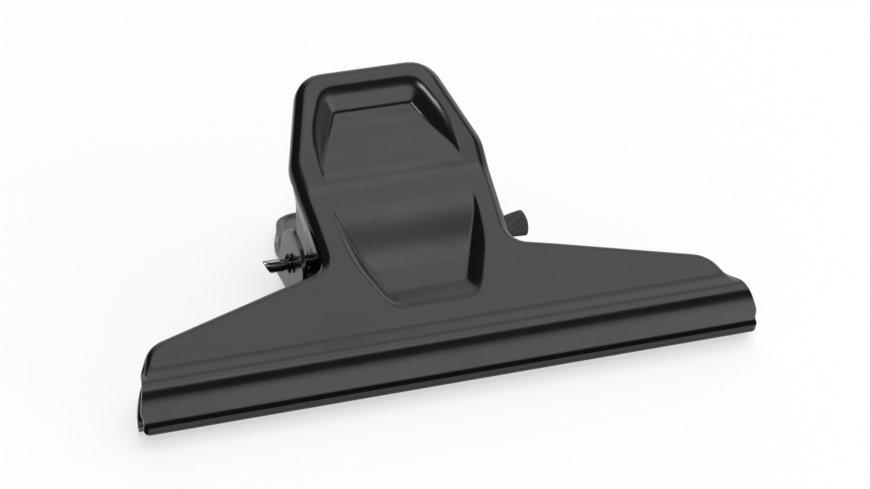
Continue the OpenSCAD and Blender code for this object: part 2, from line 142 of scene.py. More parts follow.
def makeLacquer(settings):
    # satin black stoving lacquer on pressed steel: dark, with soft clear reflections, a fine orange peel, the slow
    # waves of the pressed sheet, and specks of a thinner, browner film. Along the lips the reflection is taken out,
    # a painted shade, so a dark line parts them from the bead. The crease is found by the height along the jaw, which
    # is cos(tilt) Y + sin(tilt) Z.
    material, tree = startMaterial("satinBlackLacquerOnSteel")
    place = addNode(tree, "ShaderNodeTexCoord")
    peel = addNode(tree, "ShaderNodeTexNoise", None, {
        "Vector": (place, "Object"), "Scale": 1 / (settings["grainMm"] * mm), "Detail": 3.0, "Roughness": 0.55})
    wave = addNode(tree, "ShaderNodeTexNoise", None, {
        "Vector": (place, "Object"), "Scale": 1 / (settings["waveMm"] * mm), "Detail": 1.0})
    peelBump = addNode(tree, "ShaderNodeBump", None, {
        "Height": (peel, 0), "Strength": settings["grainDepth"], "Distance": settings["bumpMm"] * mm})
    waveBump = addNode(tree, "ShaderNodeBump", None, {
        "Height": (wave, 0), "Strength": settings["waveDepth"], "Distance": settings["bumpMm"] * mm,
        "Normal": (peelBump, 0)})
    smudge = addNode(tree, "ShaderNodeTexNoise", None, {
        "Vector": (place, "Object"), "Scale": 1 / (settings["smudgeMm"] * mm), "Detail": 4.0, "Roughness": 0.6})
    rough = addRamp(
        tree, (smudge, 0), settings["smudgeFrom"], settings["smudgeTo"],
        settings["rough"] - settings["roughSpread"], settings["rough"] + settings["roughSpread"])
    tone = addRamp(tree, (peel, 0), settings["thinFrom"], settings["thinTo"], 0.0, settings["thinShare"])
    color = addNode(tree, "ShaderNodeMix", {"data_type": "RGBA"}, {
        0: (tone, 0), 6: srgb(settings["color"]), 7: srgb(settings["thin"])})
    tilt = math.radians(resting["tilt"])
    start = resting["lift"] * math.sin(tilt) - resting["middle"] * math.cos(tilt)
    height = addNode(tree, "ShaderNodeVectorMath", {"operation": "DOT_PRODUCT"}, {
        0: (place, "Object"), 1: (0, math.cos(tilt), math.sin(tilt))})
    # painted shade: between these heights on the lip the reflection falls to nothing, so the lip reads dark as if in
    # the bead's shade
    above, below = (
        addRamp(tree, (height, "Value"), (start + low) * mm, (start + high) * mm)
        for low, high in (settings["creaseShadeLow"], settings["creaseShadeHigh"]))
    creaseShade = addProduct(tree, (above, 0), (below, 0))
    shine = addRamp(tree, (creaseShade, 0), 0.0, 1.0, settings["shine"], 0.0)
    shader = addNode(tree, "ShaderNodeBsdfPrincipled", None, {
        "Base Color": (color, 2), "Roughness": (rough, 0), "Normal": (waveBump, 0), "IOR": settings["ior"],
        "Specular IOR Level": (shine, 0)})
    finishMaterial(tree, shader)
    return material


wireLacquer = {
    "color": "#131313", "worn": "#6a645c", "bareSheen": "#7d7d7f", "rough": 0.16, "tailRough": 0.5, "ior": 1.5,
    "grainMm": 0.28, "wornFrom": 0.5, "wornTo": 0.72, "shaftDepth": 0.03, "tailDepth": 0.7, "bumpMm": 0.12,
    "fromX": 19.5, "toX": 22.0, "bareSheenFromX": -23.7, "bareSheenToX": -24.4, "bareSheenFromZ": 12.6, "bareSheenToZ": 12.95,
}


def makeWireLacquer(settings):
    # black lacquer on steel wire: glossy on the round shaft, rough, grainy and worn to the metal's grey-brown
    # where the wire is squashed flat, and light bare steel along the top of the cut end: bare metal at the cut,
    # kept to its top face as a painted highlight where the light falls
    material, tree = startMaterial("blackLacquerOnWire")
    place = addNode(tree, "ShaderNodeTexCoord")
    parts = addNode(tree, "ShaderNodeSeparateXYZ", None, {0: (place, "Object")})
    flat = addRamp(tree, (parts, "X"), settings["fromX"] * mm, settings["toX"] * mm)
    grain = addNode(tree, "ShaderNodeTexNoise", None, {
        "Vector": (place, "Object"), "Scale": 1 / (settings["grainMm"] * mm), "Detail": 5.0, "Roughness": 0.75})
    tone = addRamp(tree, (grain, 0), settings["wornFrom"], settings["wornTo"])
    worn = addProduct(tree, (tone, 0), (flat, 0))
    # painted highlight: only the top of the cut end, picked out by height, turns to light bare steel
    cutEnd = addRamp(tree, (parts, "X"), settings["bareSheenFromX"] * mm, settings["bareSheenToX"] * mm)
    top = addRamp(tree, (parts, "Z"), settings["bareSheenFromZ"] * mm, settings["bareSheenToZ"] * mm)
    bareSheen = addProduct(tree, (cutEnd, 0), (top, 0))
    tail = addNode(tree, "ShaderNodeMix", {"data_type": "RGBA"}, {
        0: (worn, 0), 6: srgb(settings["color"]), 7: srgb(settings["worn"])})
    color = addNode(tree, "ShaderNodeMix", {"data_type": "RGBA"}, {
        0: (bareSheen, 0), 6: (tail, 2), 7: srgb(settings["bareSheen"])})
    rough = addRamp(tree, (flat, 0), 0.0, 1.0, settings["rough"], settings["tailRough"])
    depth = addRamp(tree, (flat, 0), 0.0, 1.0, settings["shaftDepth"], settings["tailDepth"])
    bump = addNode(tree, "ShaderNodeBump", None, {
        "Height": (grain, 0), "Strength": (depth, 0), "Distance": settings["bumpMm"] * mm})
    shader = addNode(tree, "ShaderNodeBsdfPrincipled", None, {
        "Base Color": (color, 2), "Roughness": (rough, 0), "Normal": (bump, 0), "IOR": settings["ior"],
        "Metallic": (bareSheen, 0)})
    finishMaterial(tree, shader)
    return material


springWire = {
    "color": "#9a9b9d", "rough": 0.28, "roughSpread": 0.08, "roughFrom": 0.3, "roughTo": 0.7,
    "drawMm": 0.12, "drawDepth": 0.15, "bumpMm": 0.05,
}


def makeSpringWire(settings):
    # bright drawn spring steel: a metal with fine marks from the drawing die
    material, tree = startMaterial("drawnSpringSteel")
    place = addNode(tree, "ShaderNodeTexCoord")
    lines = addNode(tree, "ShaderNodeTexNoise", None, {
        "Vector": (place, "Object"), "Scale": 1 / (settings["drawMm"] * mm), "Detail": 2.0})
    rough = addRamp(
        tree, (lines, 0), settings["roughFrom"], settings["roughTo"],
        settings["rough"] - settings["roughSpread"], settings["rough"] + settings["roughSpread"])
    bump = addNode(tree, "ShaderNodeBump", None, {
        "Height": (lines, 0), "Strength": settings["drawDepth"], "Distance": settings["bumpMm"] * mm})
    shader = addNode(tree, "ShaderNodeBsdfPrincipled", None, {
        "Base Color": srgb(settings["color"]), "Metallic": 1.0, "Roughness": (rough, 0), "Normal": (bump, 0)})
    finishMaterial(tree, shader)
    return material


blackLacquer = makeLacquer(lacquer)
blackWire = makeWireLacquer(wireLacquer)
springSteel = makeSpringWire(springWire)
print("materials made")

# names that end in A are angles, in R radii, in Y heights and in W full widths
jaw = {
    "width": 125.0, "sheet": 0.8, "cutEdge": 0.13, "cutEdgeA": 55.0,
    "lip": 1.6, "lipOut": 0.856, "lipFlat": 1.07, "lipA": -3.0, "creaseR": 0.35, "flankA": 50.5, "flank": 2.8,
    "flankR": 20.0, "flankTurn": 4.5, "crownR": 4.0, "backA": 15.6, "backTrial": 2.0, "backLeast": 0.05,
    "valleyR": 5.7, "plateStartY": 9.93, "plateStartOut": 4.682, "plateA": 10.9, "handleA": 21.8, "bendR": 15.0,
    "bendY": 41.6, "pastTip": 2.0,
    "tipY": 64.6, "tipW": 27.0, "kneeY": 47.4, "kneeW": 39.4, "waistY": 24.9, "waistW": 37.6,
    "shoulderY": 14.6, "shoulderInset": 5.9, "endY": 7.8, "endInset": 2.0,
    "lipR": 1.0, "lipInset": 0.7, "lipInsetY": 0.8, "lowEndR": 6.0, "endR": 9.0, "shoulderR": 6.4, "waistR": 4.0,
    "kneeR": 7.6, "tipR": 6.2, "cornerShare": 0.48,
    "foldLow": 1.5, "foldHigh": 2.3, "foldY": 22.0, "foldRun": 8.0, "foldUnit": 1.6, "foldGrowth": 0.27,
    "tipGrowth": 0.25, "driftFrom": 16.0, "driftTo": 42.0,
    "shoulderRim": 2.2, "handleRim": 3.2, "tipRimRun": 11.0, "rimStart": 6.0, "rimFull": 14.0, "rimGrowthRun": 7.0,
    "rimLeast": 0.2,
}
recess = {
    "lowY": 19.2, "lowEnd": 38.5, "lowFull": 23.0, "highStart": 43.5, "highFull": 56.0, "highY": 58.3,
    "lowDepth": 2.4, "highDepth": 2.5, "endW": 16.2, "midW": 29.0, "leastW": 10.0, "lowSlope": 0.4, "highSlope": 0.5,
    "wallA": 47.0, "lowWall": 0.5, "highWall": 1.0, "sideBlend": 0.5, "midBlend": 1.5, "cornerBlend": 0.5,
    "cornerGrowth": 0.7, "cornerReach": 3.0, "floorEdge": 0.2, "outerEdge": 0.9, "edgeDepth": 1.6, "edgeLeast": 0.03,
}
hinge = {
    "pinY": 34.3, "pinD": 2.2, "frontClear": 0.05, "rearClear": 0.02, "earLow": 8.0, "flareDrop": 3.4,
    "flareRamp": 1.2, "drillSides": 48, "drillShare": 0.6,
}
# the two jaws' own values: their left and right are their own, seen from outside
frontForm = {
    "stepLeft": 0.0, "stepRight": 0.0, "drift": 0.6, "earR": 6.4, "earShift": (0.0, 0.0), "earHigh": 10.3,
    "tipRim": 3.2, "flareFrom": 1.0,
}
rearForm = {
    "stepLeft": 1.1, "stepRight": 3.6, "drift": 0.0, "earR": 6.3, "earShift": (-0.7, -1.1), "earHigh": 5.6,
    "tipRim": 1.3, "flareFrom": 0.0,
}
# how close the grid's rows and columns lie: distances in mm, counts, and shares of the half width
spacing = {
    "samples": 4000, "plain": 0.6, "perTurn": 5.0, "mostTurn": 8.0, "perStep": 0.7, "mostStep": 6.0,
    "recessEnd": 0.35, "recessOuter": 4.0, "recessInner": 2.0, "ear": 0.7, "earMargin": 1.5, "lip": 0.1,
    "floorColumns": 14, "wallColumns": 13, "sideColumns": 30, "wallLeast": 0.6, "wallMost": 3.0, "wallMargin": 1.0,
    "floorShare": 0.55, "wallShare": 0.8, "foldRows": 7, "flangeRows": 14, "flangePower": 1.5,
}


def bentLine(y, out, heading, legs):
    # walks along straight legs [length, 0] and arcs [radius, turn], and gives y, out and heading on the way. A leg adds
    # length cos(heading) and length sin(heading); an arc from heading a to b adds r (sin b - sin a) and
    # r (cos a - cos b).
    ys, outs, headings = [np.array([y])], [np.array([out])], [np.array([heading])]
    for length, turn in legs:
        share = np.linspace(0, 1, 2 + int(abs(turn)))[1:] if turn else np.linspace(0, 1, 12)[1:]
        a = np.radians(heading)
        if turn:
            r = length * np.sign(turn)
            b = np.radians(heading + turn * share)
            legY, legOut = y - r * np.sin(a) + r * np.sin(b), out + r * np.cos(a) - r * np.cos(b)
        else:
            legY, legOut = y + length * share * np.cos(a), out + length * share * np.sin(a)
        ys.append(legY)
        outs.append(legOut)
        headings.append(heading + turn * share)
        y, out, heading = legY[-1], legOut[-1], heading + turn
    return np.concatenate(ys), np.concatenate(outs), np.concatenate(headings)


def jawSection():
    # the outer face's line from the lip's edge to past the handle's tip. The back of the bead gets the length that
    # brings the line onto the plate: its miss grows evenly with the length, so two trials give the zero.
    crownTurn = -(jaw["flankA"] - jaw["flankTurn"]) - jaw["backA"]
    first = [
        [jaw["lipFlat"], 0], [jaw["creaseR"], jaw["flankA"] - jaw["lipA"]], [jaw["flank"], 0],
        [jaw["flankR"], -jaw["flankTurn"]], [jaw["crownR"], crownTurn]]
    valley = [jaw["valleyR"], jaw["backA"] + jaw["plateA"]]
    slope = math.tan(math.radians(jaw["plateA"]))

    def overPlate(back):
        y, out, _ = bentLine(-jaw["lip"], jaw["lipOut"], jaw["lipA"], first + [[back, 0], valley])
        return out[-1] - jaw["plateStartOut"] - (y[-1] - jaw["plateStartY"]) * slope, y[-1]

    near, far = overPlate(0.0)[0], overPlate(jaw["backTrial"])[0]
    back = max(jaw["backTrial"] * near / (near - far), jaw["backLeast"])
    beadY = overPlate(back)[1]
    turn = jaw["handleA"] - jaw["plateA"]
    tangent = jaw["bendR"] * math.tan(math.radians(turn / 2))
    plate = (jaw["bendY"] - beadY) / math.cos(math.radians(jaw["plateA"])) - tangent
    handle = (jaw["tipY"] - jaw["bendY"]) / math.cos(math.radians(jaw["handleA"])) + jaw["pastTip"]
    print("bead back", round(back, 3), "misses the plate by", round(overPlate(back)[0], 4))
    rest = [[back, 0], valley, [plate, 0], [jaw["bendR"], turn], [handle, 0]]
    return bentLine(-jaw["lip"], jaw["lipOut"], jaw["lipA"], first + rest)


# the press plane is leant halfway between the plate and the handle, and v is the height along it
sectionY, sectionOut, sectionHeading = jawSection()
pressA = math.radians((jaw["plateA"] + jaw["handleA"]) / 2)
sectionV = sectionY * math.cos(pressA) + sectionOut * math.sin(pressA)


def faceOut(y):
    # how far out the bare section lies at a height
    return np.interp(y, sectionY, sectionOut)


def pressedV(y):
    # a height's place along the press plane, y cos(pressA) + out sin(pressA)
    return np.interp(y, sectionY, sectionV)


def smoothStep(t):
    # 0 to 1 along 3 t squared less 2 t cubed, and flat outside
    t = np.clip(t, 0, 1)
    return t * t * (3 - 2 * t)


def softMax(a, b, r):
    # the larger of two values, rounded by a parabola where they differ by less than r
    return np.maximum(a, b) + np.maximum(r - np.abs(a - b), 0) ** 2 / (4 * r)


def foldRadius(v):
    # the rims' fold is tighter on the shoulders than on the handle, with a smooth step between
    share = smoothStep((v - pressedV(jaw["foldY"])) / jaw["foldRun"])
    return jaw["foldLow"] + (jaw["foldHigh"] - jaw["foldLow"]) * share


def roundedSide():
    # the outline's right side in the press plane, from the lip up to the handle's tip, as points and outward normals.
    # Each corner becomes an arc that starts radius / tan(half the corner's angle) before it; the lip's is cut later.
    corners = np.array([
        [jaw["width"] / 2, pressedV(-jaw["lip"]) - jaw["sheet"] * math.sin(pressA)],
        [jaw["width"] / 2, pressedV(0)],
        [jaw["width"] / 2 - jaw["endInset"], pressedV(jaw["endY"])],
        [jaw["width"] / 2 - jaw["shoulderInset"], pressedV(jaw["shoulderY"])],
        [jaw["waistW"] / 2, pressedV(jaw["waistY"])],
        [jaw["kneeW"] / 2, pressedV(jaw["kneeY"])],
        [jaw["tipW"] / 2, pressedV(jaw["tipY"])],
        [0, pressedV(jaw["tipY"])]])
    radii = [0.0, jaw["lowEndR"], jaw["endR"], jaw["shoulderR"], jaw["waistR"], jaw["kneeR"], jaw["tipR"]]
    points, normals = [corners[:1]], [np.array([[1.0, 0.0]])]
    for k in range(1, len(radii)):
        before, at, after = corners[k - 1], corners[k], corners[k + 1]
        ua, ub = (before - at) / np.linalg.norm(before - at), (after - at) / np.linalg.norm(after - at)
        half = math.acos(np.clip(ua @ ub, -1, 1)) / 2
        cut = min(
            radii[k] / math.tan(half), jaw["cornerShare"] * np.linalg.norm(before - at),
            jaw["cornerShare"] * np.linalg.norm(after - at))
        r = cut * math.tan(half)
        middle = (ua + ub) / np.linalg.norm(ua + ub)
        centre = at + middle * r / math.sin(half)
        turn = np.sign(-ua[0] * ub[1] + ua[1] * ub[0])
        start = at + ua * cut - centre
        angle = math.atan2(start[1], start[0]) + turn * np.linspace(0, 1, 40) * (math.pi - 2 * half)
        ray = np.stack([np.cos(angle), np.sin(angle)], axis=-1)
        points.append(centre + r * ray)
        normals.append(ray * turn)
    return np.concatenate(points), np.concatenate(normals)


def sideStations(v):
    # where the line that runs one fold radius inside the outline crosses the heights v: its x and its outward
    # normal. The rounded fold is longer than its shadow, so the line moves out by a growth in parts of the radius.
    points, normals = roundedSide()
    share = np.linspace(0, len(points) - 1, 40 * len(points))
    pts = np.stack([np.interp(share, np.arange(len(points)), points[:, k]) for k in (0, 1)], axis=-1)
    nrm = np.stack([np.interp(share, np.arange(len(points)), normals[:, k]) for k in (0, 1)], axis=-1)
    nrm /= np.linalg.norm(nrm, axis=-1, keepdims=True)
    folded = smoothStep((pts[:, 1] - pressedV(jaw["rimStart"])) / jaw["rimGrowthRun"])
    onTip = jaw["tipGrowth"] * np.clip(nrm[:, 1], 0, 1) ** 2 * (pts[:, 1] > pressedV(jaw["kneeY"]))
    growth = (jaw["foldGrowth"] + onTip) * foldRadius(pts[:, 1]) / jaw["foldUnit"]
    inner = pts + ((growth * folded - foldRadius(pts[:, 1]))[:, None]) * nrm
    rising = np.maximum.accumulate(inner[:, 1]) + np.arange(len(inner)) * 1e-9
    x = np.interp(v, rising, inner[:, 0])
    normal = np.stack([np.interp(v, rising, nrm[:, k]) for k in (0, 1)], axis=-1)
    normal /= np.linalg.norm(normal, axis=-1, keepdims=True)
    return x, normal


def recessDepth(y):
    # how deep the floor lies: nothing at the bend, and deeper along a smooth step towards both ends
    low = recess["lowDepth"] * smoothStep((recess["lowEnd"] - y) / (recess["lowEnd"] - recess["lowFull"]))
    high = recess["highDepth"] * smoothStep((y - recess["highStart"]) / (recess["highFull"] - recess["highStart"]))
    return low + high


def recessHalf(y):
    # half the width of the recess floor: it grows evenly from both ends and is even between
    low = recess["endW"] / 2 + recess["lowSlope"] * (y - recess["lowY"])
    high = recess["endW"] / 2 + recess["highSlope"] * (recess["highY"] - y)
    return np.minimum(np.minimum(low, high), recess["midW"] / 2)


def dressedOut(x, y):
    # the outer face with the recess: the lower of the plate and of the floor plus its walls, each blended into the
    # next. The walls rise by the distance outside the floor's edge / tan(wallA).
    face, depth = faceOut(y), recessDepth(y)
    x = np.abs(x)
    low = (x - recess["endW"] / 2 - recess["lowSlope"] * (y - recess["lowY"])) / math.hypot(1, recess["lowSlope"])
    high = (x - recess["endW"] / 2 - recess["highSlope"] * (recess["highY"] - y)) / math.hypot(1, recess["highSlope"])
    side = softMax(softMax(low, high, recess["sideBlend"]), x - recess["midW"] / 2, recess["midBlend"])
    ends = np.maximum((recess["lowY"] - y) * recess["lowWall"], (y - recess["highY"]) * recess["highWall"])
    corner = recess["cornerGrowth"] * np.clip(np.maximum(side, ends), 0, recess["cornerReach"])
    outside = softMax(side, ends, recess["cornerBlend"] + corner)
    rise = softMax(outside, 0, recess["floorEdge"]) / math.tan(math.radians(recess["wallA"]))
    blend = recess["outerEdge"] * np.clip(depth / recess["edgeDepth"], recess["edgeLeast"], 1)
    return -softMax(-face, -(face - depth + rise), blend)


# how far the plate's last row lies from the outline's tip, along the press plane
tipReach = (jaw["foldGrowth"] + jaw["tipGrowth"]) * jaw["foldHigh"] / jaw["foldUnit"] - jaw["foldHigh"]


def jawRows():
    # heights of the grid's rows: equal steps of the summed density, which is high where the section turns, where the
    # outline runs sideways, and at the lip, the ears and the recess's ends
    y = np.linspace(-jaw["lip"], jaw["tipY"], spacing["samples"])
    topV = pressedV(jaw["tipY"]) + tipReach
    x, _ = sideStations(pressedV(y))
    turning = np.abs(np.gradient(np.interp(y, sectionY, sectionHeading), y)) / spacing["perTurn"]
    sideways = np.abs(np.gradient(x, y)) / spacing["perStep"]
    density = 1 / spacing["plain"] + np.clip(turning, 0, spacing["mostTurn"])
    density += np.clip(sideways, 0, spacing["mostStep"])
    outer, inner, margin = spacing["recessOuter"], spacing["recessInner"], spacing["earMargin"]
    density += 1 / spacing["recessEnd"] * ((y > recess["lowY"] - outer) & (y < recess["lowY"] + inner))
    density += 1 / spacing["recessEnd"] * ((y > recess["highY"] - inner) & (y < recess["highY"] + outer))
    inEar = (y > hinge["pinY"] - hinge["earLow"] - margin) & (y < hinge["pinY"] + frontForm["earHigh"] + margin)
    density += 1 / spacing["ear"] * inEar + 1 / spacing["lip"] * (y < 0)
    count = np.concatenate([[0], np.cumsum((density[1:] + density[:-1]) / 2 * np.diff(y))])
    lastY = np.interp(topV, sectionV, sectionY)
    last = np.interp(lastY, y, count)
    return np.interp(np.linspace(0, last, int(last)), count, y)


def jawColumns(y, half):
    # x of each column at each row: even steps over the recess floor, over its wall, and from there to the side
    wall = recessDepth(y) * math.tan(math.radians(recess["wallA"]))
    wall = np.clip(wall, spacing["wallLeast"], spacing["wallMost"]) + spacing["wallMargin"]
    floorEdge = np.minimum(np.maximum(recessHalf(y), recess["leastW"] / 2), spacing["floorShare"] * half)
    wallEdge = np.minimum(floorEdge + wall, spacing["wallShare"] * half)
    onFloor = np.linspace(0, 1, spacing["floorColumns"])[:-1]
    onWall = np.linspace(0, 1, spacing["wallColumns"])[:-1]
    onSide = np.linspace(0, 1, spacing["sideColumns"])
    right = np.concatenate([
        onFloor * floorEdge[:, None], floorEdge[:, None] + onWall * (wallEdge - floorEdge)[:, None],
        wallEdge[:, None] + onSide * (half - wallEdge)[:, None]], axis=1)
    return np.concatenate([-right[:, :0:-1], right], axis=1)


def earContour(startY, startOut, endY, endOut, share, form):
    # the ear's edge at the given shares of its length: from the rim's end along the tangent to the circle round the
    # pin, round that circle, and along the other tangent to the rim again
    r, midY, midOut = form["earR"], hinge["pinY"] + form["earShift"][0], form["earShift"][1]

    def touch(y, out, side):
        away = math.hypot(y - midY, out - midOut)
        return math.atan2(out - midOut, y - midY) + side * math.acos(min(r / away, 1))

    first, second = touch(startY, startOut, 1), touch(endY, endOut, -1)
    first = first - 2 * math.pi if first > 0 else first
    angle = np.linspace(first, second, 120)
    ys = np.concatenate([[startY], midY + r * np.cos(angle), [endY]])
    outs = np.concatenate([[startOut], midOut + r * np.sin(angle), [endOut]])
    length = np.concatenate([[0], np.cumsum(np.hypot(np.diff(ys), np.diff(outs)))])
    length /= length[-1]
    return np.interp(share, length, ys), np.interp(share, length, outs)


def jawSurface(form):
    # the outer face: a grid over the plate, and a border ribbon that folds down all round it but for the lip. Each of
    # its stations leaves the plate along its own slope, turns through an arc of the fold's radius, and runs straight
    # down to the rim's or the ear's edge.
    cosP, sinP = math.cos(pressA), math.sin(pressA)
    y = jawRows()
    v = pressedV(y)
    half, normal = sideStations(v)
    lipCut = np.clip(1 - (y + jaw["lip"]) / jaw["lipR"], 0, 1)
    half = half - jaw["lipR"] * (1 - np.sqrt(1 - lipCut ** 2))
    half = half - jaw["lipInset"] * smoothStep(jaw["lipInsetY"] - y)
    x = jawColumns(y, half)
    rows, columns = x.shape
    yGrid = np.repeat(y[:, None], columns, axis=1)
    out = dressedOut(x, yGrid)
    x = x + form["drift"] * smoothStep((yGrid - jaw["driftFrom"]) / (jaw["driftTo"] - jaw["driftFrom"]))
    plate = np.stack([x, yGrid, out], axis=-1).reshape(-1, 3)

    # the border's stations: up the right side, over the tip and down the left side
    right = np.arange(rows) * columns + columns - 1
    top = (rows - 1) * columns + np.arange(columns - 2, 0, -1)
    left = np.arange(rows - 1, -1, -1) * columns
    ring = np.concatenate([right, top, left])
    base = plate[ring]
    mx = np.concatenate([normal[:, 0], np.zeros(columns - 2), -normal[::-1, 0]])
    mv = np.concatenate([normal[:, 1], np.ones(columns - 2), normal[::-1, 1]])
    heading = np.radians(np.interp(base[:, 1], sectionY, sectionHeading))
    lean = np.tan(heading - pressA)
    along = np.stack([mx, mv * cosP - mv * lean * sinP, mv * sinP + mv * lean * cosP], axis=-1)
    down = np.array([0, sinP, -cosP])
    fold = foldRadius(pressedV(base[:, 1]))
    edge = base + fold[:, None] * along

    # how far the rim turns down at each station
    onTop = np.arange(len(ring)) >= rows
    onTop &= np.arange(len(ring)) < rows + columns - 2
    edgeY = edge[:, 1]
    lowY, highY = hinge["pinY"] - hinge["earLow"], hinge["pinY"] + form["earHigh"]
    inEar = (edgeY > lowY) & (edgeY < highY) & ~onTop
    toTip = smoothStep((edgeY - jaw["kneeY"]) / jaw["tipRimRun"])
    onHandle = jaw["handleRim"] + (form["tipRim"] - jaw["handleRim"]) * toTip
    depth = np.where(edgeY < (lowY + highY) / 2, jaw["shoulderRim"], onHandle)
    weight = np.where(onTop, 1, smoothStep((edgeY - jaw["rimStart"]) / (jaw["rimFull"] - jaw["rimStart"])))
    fall = depth * np.cos(heading) / np.cos(heading - pressA)
    turnEnd = np.arccos(np.clip(1 - (fall - jaw["rimLeast"]) / fold, 0, 1))
    foot = base + fold[:, None] * (np.sin(turnEnd)[:, None] * along + (1 - np.cos(turnEnd))[:, None] * down)
    target = foot + (fall - fold * (1 - np.cos(turnEnd)))[:, None] * down
    share = (edgeY - lowY) / (highY - lowY)

    def rimPoint(atY, rim):
        head = math.radians(np.interp(atY, sectionY, sectionHeading))
        reach = rim * math.cos(head) / math.cos(head - pressA)
        return atY + sinP * reach, faceOut(atY) - cosP * reach

    startY, startOut = rimPoint(lowY, jaw["shoulderRim"])
    endY, endOut = rimPoint(highY, jaw["handleRim"])
    earY, earOut = earContour(startY, startOut, endY, endOut, share[inEar], form)
    target[inEar, 1], target[inEar, 2] = earY, earOut
    sideSign = np.sign(mx + (mx == 0))
    step = np.where(sideSign > 0, form["stepRight"], form["stepLeft"])
    nearEar = smoothStep(1 - np.maximum(np.maximum(lowY - edgeY, edgeY - highY), 0) / hinge["flareRamp"])
    nearEar = np.where(onTop, 0, nearEar)
    shift = nearEar * (jaw["waistW"] / 2 + step - np.abs(edge[:, 0])) * sideSign

    # the ribbon's rows: first round the fold, then down the flange. An ear steps outward along them by a smooth
    # step of the length gone since the plate, or since the fold's end where flareFrom is 1.
    foldRows, flangeRows = spacing["foldRows"], spacing["flangeRows"]
    turn = np.linspace(0, 1, foldRows + 1)[1:, None, None] * turnEnd[:, None]
    folded = base + fold[:, None] * (np.sin(turn) * along + (1 - np.cos(turn)) * down)
    part = (np.linspace(0, 1, flangeRows + 1)[1:, None, None]) ** spacing["flangePower"]
    flange = foot + (target - foot) * part
    bent = np.concatenate([folded, flange])
    bend = (fold * turnEnd)[None, :]
    onFlange = bend + np.linalg.norm(target - foot, axis=1) * part[:, :, 0]
    gone = np.concatenate([bend * turn[:, :, 0] / turnEnd, onFlange])
    bent[:, :, 0] += shift * smoothStep((gone - bend * form["flareFrom"]) / hinge["flareDrop"])
    reach = fold * np.linspace(0, 1, foldRows + flangeRows + 1)[1:, None]
    flatV = pressedV(base[:, 1]) + mv * reach
    flatY = np.interp(flatV, sectionV, sectionY)
    flat = np.stack([base[:, 0] + mx * reach, flatY, faceOut(flatY)], axis=-1)
    ribbon = flat + (bent - flat) * weight[None, :, None]

    # the ribbon's faces, of which the first row joins it to the plate's border
    ribbonIndex = len(plate) + np.arange(ribbon.shape[0] * len(ring)).reshape(-1, len(ring))
    rowsIndex = np.concatenate([ring[None, :], ribbonIndex])
    a, b = rowsIndex[:-1, :-1], rowsIndex[:-1, 1:]
    c, d = rowsIndex[1:, 1:], rowsIndex[1:, :-1]
    ribbonFaces = np.stack([a, d, c, b], axis=-1).reshape(-1, 4)
    points = np.concatenate([plate, ribbon.reshape(-1, 3)])
    faces = np.concatenate([gridFaces(rows, columns), ribbonFaces])
    return points, faces


def cutBores(piece, boreR):
    # drills the pin's hole through both ears
    bpy.ops.mesh.primitive_cylinder_add(
        vertices=hinge["drillSides"], radius=boreR * mm, depth=jaw["width"] * hinge["drillShare"] * mm)
    drill = bpy.context.active_object
    drill.rotation_euler = (0, math.pi / 2, 0)
    drill.location = layDown(np.array([0.0]), np.array([hinge["pinY"]]), np.array([0.0]))[0]
    cut = piece.modifiers.new("bore", "BOOLEAN")
    cut.operation, cut.object, cut.solver = "DIFFERENCE", drill, "EXACT"
    settle(piece)
    bpy.data.objects.remove(drill)


def settle(piece):
    # makes the piece's modifiers part of its mesh
    bpy.context.view_layer.update()
    graph = bpy.context.evaluated_depsgraph_get()
    mesh = bpy.data.meshes.new_from_object(piece.evaluated_get(graph))
    piece.modifiers.clear()
    piece.data = mesh


def makeJaw(name, front):
    # a jaw as a sheet with rounded cut edges and bored ears; the rear jaw is the front one turned over about Y
    points, faces = jawSurface(frontForm if front else rearForm)
    side = 1 if front else -1
    row = layDown(side * points[:, 0], points[:, 1], side * points[:, 2])
    piece = makePiece(name, row, faces, blackLacquer)
    shell = piece.modifiers.new("sheet", "SOLIDIFY")
    shell.thickness, shell.offset = jaw["sheet"] * mm, -1
    edges = piece.modifiers.new("cut edges", "BEVEL")
    edges.width, edges.segments = jaw["cutEdge"] * mm, 2
    edges.limit_method, edges.angle_limit = "ANGLE", math.radians(jaw["cutEdgeA"])
    settle(piece)
    cutBores(piece, hinge["pinD"] / 2 + (hinge["frontClear"] if front else hinge["rearClear"]))
    return piece


frontJaw = makeJaw("frontJaw", True)
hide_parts("front_jaw")
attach(frontJaw, "front")
rearJaw = makeJaw("rearJaw", False)
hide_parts("rear_jaw")
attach(rearJaw, "rear")
print("jaws made:", len(frontJaw.data.polygons), len(rearJaw.data.polygons))

pin = {
    "r": 1.1, "cutTop": -28.0, "cutA": 36.0, "edge": 0.12, "stakeA": 50.0, "tailA": 35.0,
    "endWide": 1.28, "endDeep": 1.0, "endPower": 0.7, "wingPower": 7, "sides": 64,
    "stations": [-23.5, -23.25, -23.0, -22.6, -22.44, -22.38, -21.4, -12.0, 0.0, 12.0, 19.0, 19.92],
    "wings": [0.0, 0.45, 0.85, 0.8, 0.1, 0.0, 0.0, 0.0, 0.0, 0.0, 0.0, 0.0],
    "tailX": [19.95, 20.3, 20.8, 21.4, 22.0, 22.6, 23.4, 24.5, 25.6, 26.5, 27.0, 27.2],
    "tailUp": [1.1, 1.22, 1.62, 2.12, 2.5, 2.76, 2.95, 3.14, 3.3, 3.38, 3.36, 3.28],
    "tailDown": [1.1, 1.14, 1.24, 1.32, 1.42, 1.52, 1.62, 1.72, 1.78, 1.82, 1.8, 1.74],
    "tailThick": [1.1, 1.04, 0.92, 0.78, 0.66, 0.56, 0.48, 0.44, 0.43, 0.42, 0.38, 0.28],
    "tailBulge": 0.75, "bulgeFrom": 22.0, "bulgeMiddle": 0.6, "bulgeHalf": 2.6, "turnX": [19.95, 21.5],
    "slabX": [19.95, 22.5], "slabPower": [1.0, 0.45],
}


